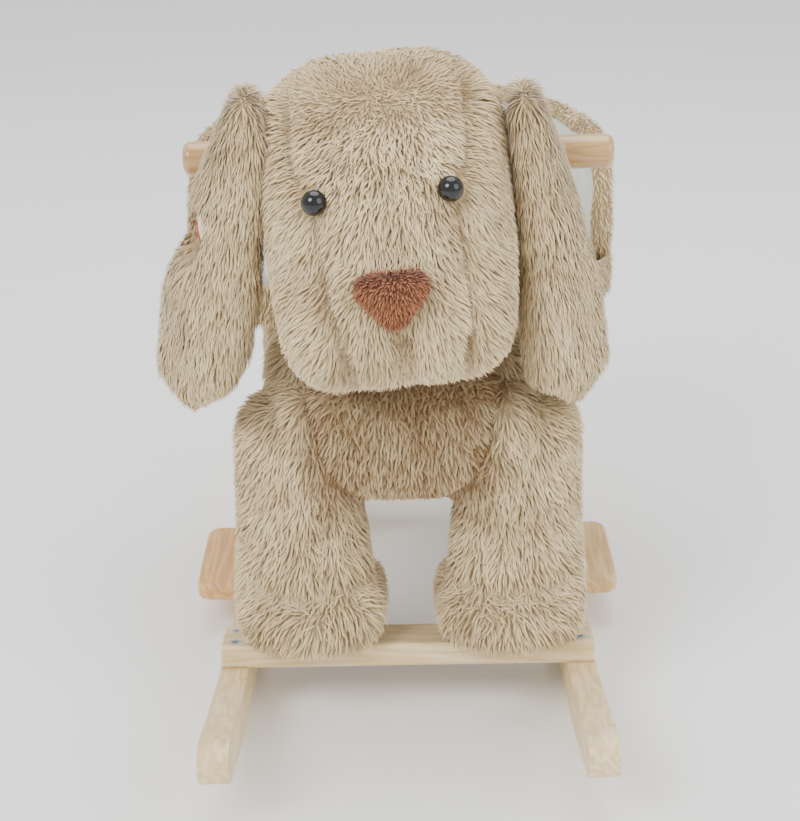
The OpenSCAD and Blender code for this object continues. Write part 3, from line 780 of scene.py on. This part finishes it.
def makeHead(spec):
    head = skin("headSkin", spec["blobs"], spec["shrink"], spec["voxel"], spec["smoothing"], leaned)
    puff(head, spec["pressure"], spec["swell"])

    def drawn(lines):
        return [castLine(head, [leaned(place) for place in line], (0, 1, 0)) for line in lines]

    near = pinch(head, drawn(spec["seams"]), 5.5, 6.0)
    creased = pinch(head, drawn(spec["folds"]), 5.5, 6.5)
    creases = np.minimum(near, creased)
    co = points(head)
    upright = unleaned(co)
    front = easeStep(-upright[:, 1], 165, 205)
    socket = np.full(len(co), 1e9)
    for x, z in spec["eyes"]:
        socket = np.minimum(socket, np.hypot(upright[:, 0] - x, upright[:, 2] - z) + 1000 * (front < 0.1))
    setPoints(head, co + normals(head) * (3.2 * mm * np.exp(-(socket / spec["eyeSocket"]) ** 4))[:, None])
    noseX, noseZ = spec["nose"]
    noseGap = np.hypot((upright[:, 0] - noseX) * 0.85, upright[:, 2] - noseZ) + 1000 * (front < 0.1)
    crown = easeStep(upright[:, 2], 445, 462) * (1 - easeStep(upright[:, 2], 482, 494))
    crown = crown * easeStep(-upright[:, 1], 120, 150) * (1 - easeStep(np.abs(upright[:, 0]), 52, 66))
    sideways = np.clip(upright[:, 0] / 90, -1, 1)
    nap = np.stack((sideways * 0.9, 0.25 * np.ones(len(co)), -0.9 * np.ones(len(co))), 1)
    nap[:, 2] += 1.4 * easeStep(upright[:, 2], 440, 490) * (1 - front)
    furLength = 1 - 0.45 * crown - 0.45 * np.exp(-(socket / 12) ** 2)
    furLength = furLength - 0.35 * np.exp(-((noseGap - 16) / 9) ** 2)
    furLength = furLength - 0.45 * np.exp(-(creases / (5 * mm)) ** 2)
    # painted shade: the fur is darker along the sewn seams and the folds
    tone = 0.62 - 0.24 * crown - 0.22 * np.exp(-(creases / (4.5 * mm)) ** 2)
    tone = tone + 0.08 * easeStep(np.abs(upright[:, 0]), 55, 85)
    cover = np.clip(easeStep(socket, 8.0, 9.5) * easeStep(noseGap, 15, 17), 0, 1)
    grow("headFur", head, headCoat, tanFur, "root",
         {"nap": nap, "furLength": np.clip(furLength, 0.4, 1), "cover": cover, "tone": tone})
    soft(head, "root", "tan_plush", ["head_plush"], 0.8, shadedTanSkin)


makeHead(headShape)


# nose

noseShape = {
    "blobs": [[(-14, -252, 363, 10), (14, -252, 363, 10), (0, -250, 347, 12), (0, -256, 357, 9),
               (-8, -254, 353, 8), (8, -254, 353, 8)]],
    "shrink": 0.6, "voxel": 1.6, "smoothing": 6,
}
noseCoat = {"Spacing": 0.00115, "Length": 0.0042, "Width": 0.0013, "Lift": 0.8, "Wander": 0.8,
            "Clump Scale": 160.0, "Unevenness": 0.6, "Patch Contrast": 0.9, "Seed": 5}


def makeNose(spec):
    nose = skin("noseSkin", spec["blobs"], spec["shrink"], spec["voxel"], spec["smoothing"], leaned)
    puff(nose, 2.0, 0.8)
    co = points(nose)
    count = len(co)
    middle = co.mean(0)
    nap = (co - middle) / np.maximum(np.linalg.norm(co - middle, axis=1, keepdims=True), 1e-6)
    nap = nap * 0.6 + np.array((0, 0, -0.7))
    grow("noseFur", nose, noseCoat, noseFur, "root",
         {"nap": nap, "furLength": np.ones(count), "cover": np.ones(count), "tone": np.full(count, 0.5)})
    soft(nose, "root", "nose_plush", ["nose"], 0.9, shadedNoseCloth)


makeNose(noseShape)
print("head and nose done")


# ears

hinges = {j["child"]: np.array(j["pos_m"]) / mm for j in frame["joints"] if j["type"] == "hinge"}
earShape = {
    "blobs": [
        # places are measured from the hinge, for the left ear
        [(-3, -24, 5, 12), (-3, 22, 5, 12), (2, -24, -36, 15), (10, 10, -36, 15), (9, -24, -80, 16),
         (24, 6, -80, 16)],
        [(2, -24, -36, 15), (10, 10, -36, 15), (12, -29, -120, 19), (34, 2, -126, 19), (14, -29, -174, 20),
         (41, 2, -178, 20), (30, -12, -191, 18)],
    ],
    # the head leans away from the right ear, which reaches further in to meet it
    "tuck": {"left": 0, "right": 11},
    "reach": {
        "left": [],
        "right": [(-10, -26, -20, 13), (-9, -30, -70, 14), (-8, -30, -120, 15), (2, -28, -160, 16)],
    },
    "shrink": 4.0, "voxel": 3.6, "smoothing": 10, "pressure": 3.0, "swell": 3.0,
    "labelDepth": 3.6,  # how far the ear sinks behind the label
}
earCoat = {"Spacing": 0.00130, "Length": 0.0120, "Width": 0.0014, "Lift": 0.34, "Wander": 1.3,
           "Clump Scale": 85.0, "Unevenness": 0.34, "Patch Contrast": 0.9, "Seed": 11}


def makeEar(side, spec):
    sign = 1 if side == "left" else -1
    body = "ear_" + side
    hinge = hinges[body]

    def placed(place):
        inward = spec["tuck"][side] * (1 - min(max((-place[2] - 40) / 70, 0), 1))
        return hinge + np.array((sign * (place[0] - inward), place[1], place[2]))

    upper, lower = spec["blobs"]
    reach = spec["reach"][side]
    ear = skin(side + "EarSkin", [upper + reach[:2], lower + reach[1:]], spec["shrink"], spec["voxel"],
               spec["smoothing"], placed)
    puff(ear, spec["pressure"], spec["swell"])
    co = points(ear)
    away = (co / mm - hinge) * np.array((sign, 1, 1))
    drop = -away[:, 2]
    count = len(co)
    nap = np.stack((sign * 0.15 * np.ones(count), 0.004 * away[:, 1], -np.ones(count)), 1)
    # painted shade: darker within 40 mm of the hinge, where the ear meets the head; lighter lower down the ear
    tone = 0.55 + 0.10 * easeStep(drop, 60, 180) - 0.10 * (1 - easeStep(drop, 0, 40))
    cover, trimmed = np.ones(count), np.ones(count)
    if side == "right":
        offset = co - labelMiddle
        lifted = offset @ labelFacing
        apart = np.linalg.norm(offset - lifted[:, None] * labelFacing, axis=1)
        inFront = lifted > -20 * mm
        cover = np.where(inFront, easeStep(apart / mm, 15.5, 18.0), 1.0)
        trimmed = np.where(inFront, 1 - 0.65 * np.exp(-(np.maximum(apart / mm - 16, 0) / 7) ** 2), 1.0)
        sink = np.where(inFront & (apart < 17 * mm), np.clip(lifted + spec["labelDepth"] * mm, 0, None), 0)
        setPoints(ear, co - sink[:, None] * labelFacing)
    grow(side + "EarFur", ear, dict(earCoat, Seed=11 + sign), tanFur, body,
         {"nap": nap, "furLength": trimmed, "cover": cover, "tone": tone})
    soft(ear, body, "tan_plush", [body], 0.5, shadedTanSkin)


makeEar("left", earShape)
makeEar("right", earShape)
print("ears done")


# body and legs

bodyShape = {
    "trunk": [(x, y, z, 40) for x in (-56, 56) for y in (-150, 150) for z in (208, 236)],
    "aside": 3.0,
    "neck": [(-22, -112, 252, 46), (22, -112, 252, 46), (-22, -112, 330, 42), (22, -112, 330, 42)],
    "chest": [(-46, -142, 212, 46), (48, -142, 212, 46), (-60, -118, 258, 44), (62, -118, 258, 44)],
    "shrink": 4.5, "voxel": 4.2, "smoothing": 12, "pressure": 3.0, "swell": 3.0,
    # sewn lines down one side of the front, as (x, z)
    "chestSeam": [(70, 268), (62, 225), (50, 192), (32, 172)],
    "legSeam": [(60, 150), (60, 108)],
    "ankle": [(26, 112), (73, 106), (122, 114)],
    # the rails lean with the rockers and the paws stand on them
    "pawFloor": 40.4, "railPlace": 160, "railRadius": 1260,
    "underTub": 252,
}
legShape = {
    # the left front leg, and the rear ones turned round
    "upper": [(92, -141, 216, 37), (64, -141, 212, 34), (92, -146, 150, 38), (64, -146, 150, 34)],
    "lower": [(92, -146, 150, 38), (64, -146, 150, 34), (100, -160, 94, 32), (56, -160, 94, 32),
              (96, -128, 94, 30), (58, -128, 94, 30)],
    "paw": [(101, -170, 80, 29), (47, -170, 80, 29), (100, -120, 80, 29), (46, -120, 80, 29),
            (74, -180, 78, 28)],
}
bodyCoat = {"Spacing": 0.00165, "Length": 0.0125, "Width": 0.0017, "Lift": 0.36, "Wander": 1.4,
            "Clump Scale": 80.0, "Unevenness": 0.36, "Patch Contrast": 1.0, "Seed": 21}
legCoat = dict(bodyCoat, Length=0.0120, Seed=31)


def turned(balls, x, y):
    return [(bx * x, by * y, bz, radius) for bx, by, bz, radius in balls]


def makeBody(spec, leg):
    blobs = [spec["trunk"], spec["neck"], spec["chest"]]
    for x in (-1, 1):
        for y in (-1, 1):
            blobs += [[(bx + spec["aside"], by, bz, radius) for bx, by, bz, radius in turned(leg[part], x, y)]
                      for part in ("upper", "lower", "paw")]
    body = skin("bodySkin", blobs, spec["shrink"], spec["voxel"], spec["smoothing"])
    puff(body, spec["pressure"], spec["swell"], 12)

    def drawn(line):
        return [castLine(body, [(side * x, -300, z) for x, z in line], (0, 1, 0)) for side in (-1, 1)]

    # every line is drawn before the first one is sewn in
    chest, legLine, ankle = [drawn(spec[key]) for key in ("chestSeam", "legSeam", "ankle")]
    near = pinch(body, chest, 7.0, 7.0)
    pinch(body, legLine, 3.5, 6.0)
    pinch(body, ankle, 6.0, 8.0)
    co = points(body)
    x, y, z = (co / mm).T
    tilt = math.atan(spec["railPlace"] / spec["railRadius"])
    floorHere = spec["pawFloor"] + np.abs(y) * tilt
    co[:, 2] = np.maximum(co[:, 2], floorHere * mm)
    under = (y > -22) & (z > spec["underTub"])
    co[:, 2] = np.where(under, np.minimum(co[:, 2], spec["underTub"] * mm), co[:, 2])
    setPoints(body, co)
    x, y, z = (co / mm).T
    count = len(co)
    nap = np.stack((np.clip(x / 110, -1, 1) * 0.25, 0.35 * np.ones(count), -0.8 * np.ones(count)), 1)
    # the chest panel below the head: painted shadow of the head darkens its fur there, and the fur is shorter
    # there
    shadowedChest = easeStep(-y, 105, 150) * easeStep(z, 140, 175) * (1 - easeStep(np.abs(x), 58, 78))
    # painted shade along the sewn chest seam; the fur is also darker towards the bottom of the paws
    tone = 0.60 - 0.42 * shadowedChest - 0.15 * np.exp(-(near / (5 * mm)) ** 2) - 0.10 * (1 - easeStep(z, 66, 84))
    furLength = 1 - 0.25 * shadowedChest
    hidden = (z < spec["pawFloor"] + np.abs(y) * tilt + 2) | ((y > -18) & (z > 244))
    legs = 1 - easeStep(z, 178, 186)
    regions = {"bodyFur": (1 - legs, bodyCoat), "frontLegsFur": (legs * (y < 0), legCoat),
               "rearLegsFur": (legs * (y >= 0), dict(legCoat, Seed=41))}
    for name, (mask, coat) in regions.items():
        cover = np.where(hidden, 0, mask)
        grow(name, body, coat, tanFur, "root",
             {"nap": nap, "furLength": furLength, "cover": cover, "tone": tone})
    soft(body, "root", "tan_plush", ["body_plush", "front_left_leg", "front_right_leg", "rear_left_leg",
                                     "rear_right_leg"], 0.7, shadedTanSkin)


makeBody(bodyShape, legShape)
print("body and legs done")


# tail and soles

tailShape = {
    "blobs": [[(0, 212, 207, 16), (0, 212, 222, 16), (0, 238, 213, 16), (0, 262, 197, 17)]],
    "shrink": 4.0, "voxel": 3.0, "smoothing": 8,
}
tailCoat = dict(earCoat, Length=0.011, Seed=51)


def makeTail(spec):
    tail = skin("tailSkin", spec["blobs"], spec["shrink"], spec["voxel"], spec["smoothing"])
    puff(tail, 2.0, 1.5)
    co = points(tail)
    count = len(co)
    nap = np.tile((0, 1.0, -0.6), (count, 1))
    grow("tailFur", tail, tailCoat, tanFur, "root",
         {"nap": nap, "furLength": np.ones(count), "cover": np.ones(count), "tone": np.full(count, 0.55)})
    soft(tail, "root", "tan_plush", ["tail"], 0.7, shadedTanSkin)


makeTail(tailShape)


# a smooth uneven field from -1 to 1; scale is the size of its bumps in mm along each axis
def waves(co, scale, seed):
    random = np.random.default_rng(seed)
    total = np.zeros(len(co))
    for _ in range(7):
        way = random.normal(size=3)
        way /= np.linalg.norm(way)
        speed = random.uniform(0.6, 1.7)
        total += np.sin((co / mm / np.array(scale)) @ way * speed * 6.283 + random.uniform(0, 6.283))
    return total / 3.6


# a soft, evenly meshed copy of a CAD piece
def clothCopy(name, source, voxel, smoothing):
    obj = addObject(name, frame["nodes"][source].data.copy())
    weld = obj.modifiers.new("weld", "WELD")
    weld.merge_threshold = 1e-6
    return evened(obj, voxel, smoothing)


for end in ("front", "rear"):
    sole = clothCopy(end + "Sole", end + "_soles", 1.4, 2)
    soft(sole, "root", "paw_sole", [end + "_soles"], 0.5, soleCloth)
print("tail and soles done")


# tub seat

tubShape = {"voxel": 2.4, "smoothing": 4, "middle": (0, 52), "foldDepth": 1.1}
tubCoat = {"Spacing": 0.0019, "Length": 0.0060, "Width": 0.0016, "Lift": 0.45, "Wander": 0.9,
           "Clump Scale": 70.0, "Unevenness": 0.4, "Patch Contrast": 0.8, "Seed": 61}


# each point as (distance round the tub, height, distance from its middle), in metres
def roundTub(co, middle):
    x, y = co[:, 0] - middle[0] * mm, co[:, 1] - middle[1] * mm
    return np.stack((np.arctan2(x, y) * 0.17, co[:, 2], np.hypot(x, y) * 0.15), 1)


def makeTub(spec):
    cover = clothCopy("tubCover", "tub_cover", spec["voxel"], spec["smoothing"])
    co, out = points(cover), normals(cover)
    rolled = roundTub(co, spec["middle"])
    folds = waves(rolled, (11, 300, 300), 4) * 0.6 + waves(rolled, (26, 90, 300), 5) * 0.7
    dips = waves(co, (60, 60, 45), 6)
    upper = easeStep(co[:, 2] / mm, 292, 310)
    setPoints(cover, co + out * ((folds * spec["foldDepth"] * upper + dips * 0.6) * mm)[:, None])
    co, out = points(cover), normals(cover)
    away = co[:, :2] - np.array(spec["middle"]) * mm
    outward = out[:, 0] * away[:, 0] + out[:, 1] * away[:, 1]
    outward = outward / np.maximum(np.linalg.norm(away, axis=1), 1e-6)
    front = (co[:, 1] < 60 * mm) & (out[:, 1] < -0.3)
    shown = np.maximum(easeStep(outward, -0.2, 0.2), np.maximum(easeStep(out[:, 2], 0.0, 0.3), front * 1.0))
    shown = np.where(out[:, 2] < -0.5, 0, shown)
    shown = np.where((co[:, 2] < 290 * mm) & (outward < 0.1), 0, shown)
    count = len(co)
    nap = np.stack((0.2 * away[:, 0] / 0.17, 0.2 * away[:, 1] / 0.17, -np.ones(count)), 1)
    # painted light and shade: the fold crests are lighter and the hollows between the folds darker
    grow("tubFur", cover, tubCoat, tanFur, "root",
         {"nap": nap, "furLength": np.ones(count), "cover": shown, "tone": 0.52 + 0.12 * folds * upper})
    soft(cover, "root", "tan_plush", ["tub_cover"], 0.5, shadedTanSkin)
    lining = clothCopy("tubLining", "tub_lining", spec["voxel"], spec["smoothing"])
    co, out = points(lining), normals(lining)
    ripple = waves(co, (55, 55, 40), 8) * 0.5 + waves(roundTub(co, spec["middle"]), (14, 80, 300), 9) * 0.35
    setPoints(lining, co + out * (ripple * mm)[:, None])
    soft(lining, "root", "seat_lining", ["tub_lining"], 0.6, liningCloth)


makeTub(tubShape)

cushionShape = {
    "voxel": 4.0, "smoothing": 14, "pressure": 4.0, "swell": 5.0, "crown": 3.0, "floor": 272.0, "dips": 0.7,
}


def makeCushion(spec):
    cushion = clothCopy("seatCushion", "seat_cushion", spec["voxel"], spec["smoothing"])
    before = points(cushion)
    puff(cushion, spec["pressure"], spec["swell"])
    co = points(cushion)
    co[:, :2] = before[:, :2]  # the wall round it holds it in
    low, high = before.min(0), before.max(0)
    middle, half = (low + high) / 2, (high - low) / 2
    reach = np.hypot((co[:, 0] - middle[0]) / half[0], (co[:, 1] - middle[1]) / half[1])
    top = easeStep(co[:, 2] / mm, 284, 292)
    raised = spec["crown"] * (1 - np.clip(reach, 0, 1) ** 2) + spec["dips"] * waves(co, (45, 45, 45), 12)
    co[:, 2] += top * raised * mm
    co[:, 2] = np.maximum(co[:, 2], spec["floor"] * mm)
    setPoints(cushion, co)
    finer = cushion.modifiers.new("finer", "SUBSURF")
    finer.levels = finer.render_levels = 1
    applied(cushion)
    soft(cushion, "root", "seat_lining", ["seat_cushion"], 0.8, liningCloth)
    return cushion


cushionTop = makeCushion(cushionShape)
print("tub and cushion done")


# stitches

stitchShape = {"spacing": 0.0062, "size": (0.5, 0.5, 1.9)}


def stitchNodes():
    tree, given, out = newTree("stitchRow", "GeometryNodeTree", [
        ("Geometry", "NodeSocketGeometry"), ("Spacing", "NodeSocketFloat", 0.006),
        ("Stitch", "NodeSocketObject"), ("Material", "NodeSocketMaterial"),
    ], [("Geometry", "NodeSocketGeometry")])
    given = given.outputs
    curve = node(tree, "GeometryNodeMeshToCurve", {}, Mesh=given["Geometry"])
    spaced = node(tree, "GeometryNodeCurveToPoints", {"mode": "LENGTH"}, Curve=curve.outputs[0],
                  Length=given["Spacing"])
    placeShapes(tree, given, given["Stitch"], out, Points=spaced.outputs["Points"],
                Rotation=spaced.outputs["Rotation"])
    return tree


def stitchMesh():
    mesh = bmesh.new()
    bmesh.ops.create_uvsphere(mesh, u_segments=6, v_segments=5, radius=1)
    for vert in mesh.verts:
        vert.co = Vector(part * size for part, size in zip(vert.co, stitchShape["size"])) * mm
    data = bpy.data.meshes.new("stitch")
    mesh.to_mesh(data)
    mesh.free()
    smoothShade(data)
    return data


stitchRow = stitchNodes()
stitchSockets = socketNames(stitchRow)
stitch = addObject("stitch", stitchMesh())
threadPale = clothMaterial("threadPale", (0.62, 0.60, 0.52), (0.80, 0.78, 0.70), 2500.0, 0.1)


# a row of stitches lying on the shape along a closed line of places, in mm
def sewn(name, base, places, direction):
    aim = Vector(direction)
    bpy.context.view_layer.update()
    found = []
    for place in places:
        hit, where, _, _ = base.ray_cast(Vector(place) * mm - aim * 0.1, aim)
        if hit:
            found.append(where)
    data = bpy.data.meshes.new(name)
    data.from_pydata(found, [(k, (k + 1) % len(found)) for k in range(len(found))], [])
    row = addObject(name, data)
    modifier = row.modifiers.new("stitches", "NODES")
    modifier.node_group = stitchRow
    modifier[stitchSockets["Spacing"]] = stitchShape["spacing"]
    modifier[stitchSockets["Stitch"]] = stitch
    modifier[stitchSockets["Material"]] = threadPale
    done = baked(row, name)
    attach(done, "root")


cushionLow, cushionHigh = lowHigh("seat_cushion")
cushionMiddle, cushionHalf = (cushionLow + cushionHigh) / 2 / mm, (cushionHigh - cushionLow) / 2 / mm
seam = []
for k in range(120):
    around = math.radians(3 * k)
    seam.append((cushionMiddle[0] + 0.72 * cushionHalf[0] * math.cos(around),
                 cushionMiddle[1] + 0.70 * cushionHalf[1] * math.sin(around), 330))
sewn("cushionStitches", cushionTop, seam, (0, 0, -1))
for spare in (tuft, stitch):
    bpy.data.objects.remove(spare)
print("stitches done")


# stage and light

def floorMaterial():
    made, tree, shader = material("paleFloor")
    place = node(tree, "ShaderNodeTexCoord")
    cloud = node(tree, "ShaderNodeTexNoise", {}, Vector=place.outputs["Object"], Scale=2.0, Detail=2.0)
    tree.links.new(mixColour(tree, cloud.outputs[0], (0.90, 0.90, 0.90, 1), (0.94, 0.94, 0.935, 1)),
                   shader.inputs["Base Color"])
    shader.inputs["Roughness"].default_value = 0.7
    return made


floorMesh = bmesh.new()
bmesh.ops.create_grid(floorMesh, x_segments=1, y_segments=1, size=6.0)
studioFloor = fromMesh("studioFloor", floorMesh)
setMaterial(studioFloor, floorMaterial())

studioLights = {
    # name: (place, aimed at, size, power)
    "key": ((-1.5, -1.9, 2.3), (0, 0, 0.25), 1.5, 60),
    "fill": ((1.9, -1.5, 1.5), (0, 0, 0.25), 2.0, 27),
    "top": ((0.1, 0.5, 2.6), (0, 0, 0.2), 2.2, 42),
}
for name, (place, aimed, size, power) in studioLights.items():
    light = bpy.data.lights.new(name, "AREA")
    light.shape = "DISK"
    light.size = size
    light.energy = power
    lamp = addObject(name, light)
    lamp.location = place
    lamp.rotation_euler = (Vector(aimed) - Vector(place)).to_track_quat("-Z", "Y").to_euler()

world = bpy.data.worlds.new("studio")
world.use_nodes = True
world.node_tree.nodes["Background"].inputs["Color"].default_value = (1.0, 1.0, 1.0, 1)
world.node_tree.nodes["Background"].inputs["Strength"].default_value = 1.05
bpy.context.scene.world = world
print("stage and light done")
